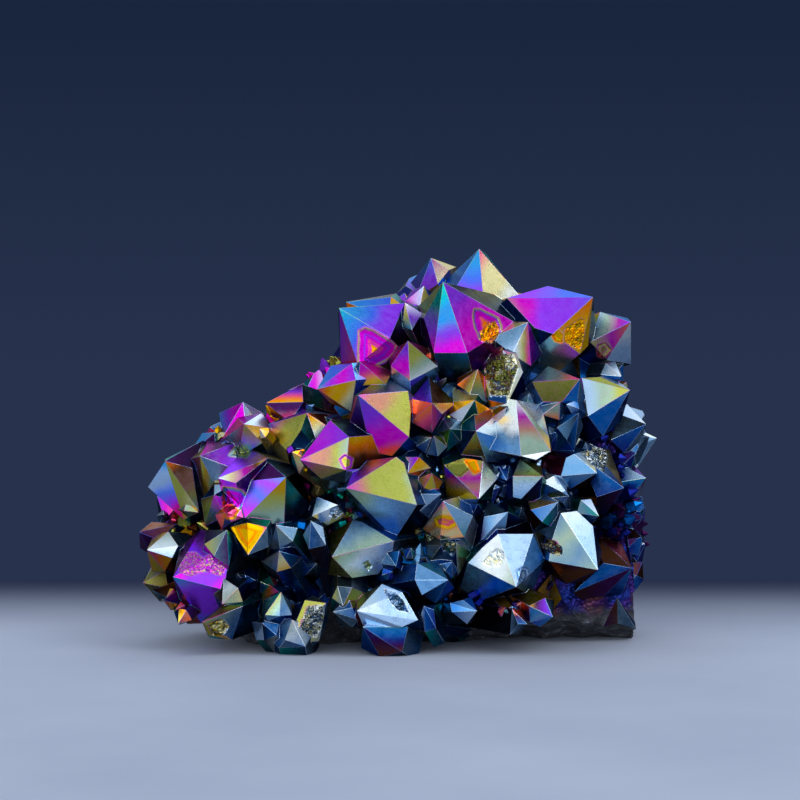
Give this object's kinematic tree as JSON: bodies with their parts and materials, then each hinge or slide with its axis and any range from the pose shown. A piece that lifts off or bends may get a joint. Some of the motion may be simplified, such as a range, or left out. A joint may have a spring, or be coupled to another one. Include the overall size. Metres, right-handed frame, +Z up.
{
  "type": "aura quartz cluster",
  "caption": "Cluster of quartz points with an iridescent metal film, fused to the lump of host rock they grew on, standing on its flat base.",
  "frame": {"origin": "centre of the bounding box's bottom face, on the surface that the cluster stands on", "axes": "+X to the right seen from the show side, +Y away from the show side, +Z up"},
  "size_m": [0.105, 0.0576, 0.0787],
  "materials": {
    "coated_quartz": "glossy iridescent metal film over quartz, on grey-brown matte host rock"
  },
  "bodies": {
    "root": {"quartz_cluster": "coated_quartz"}
  },
  "joints": []
}
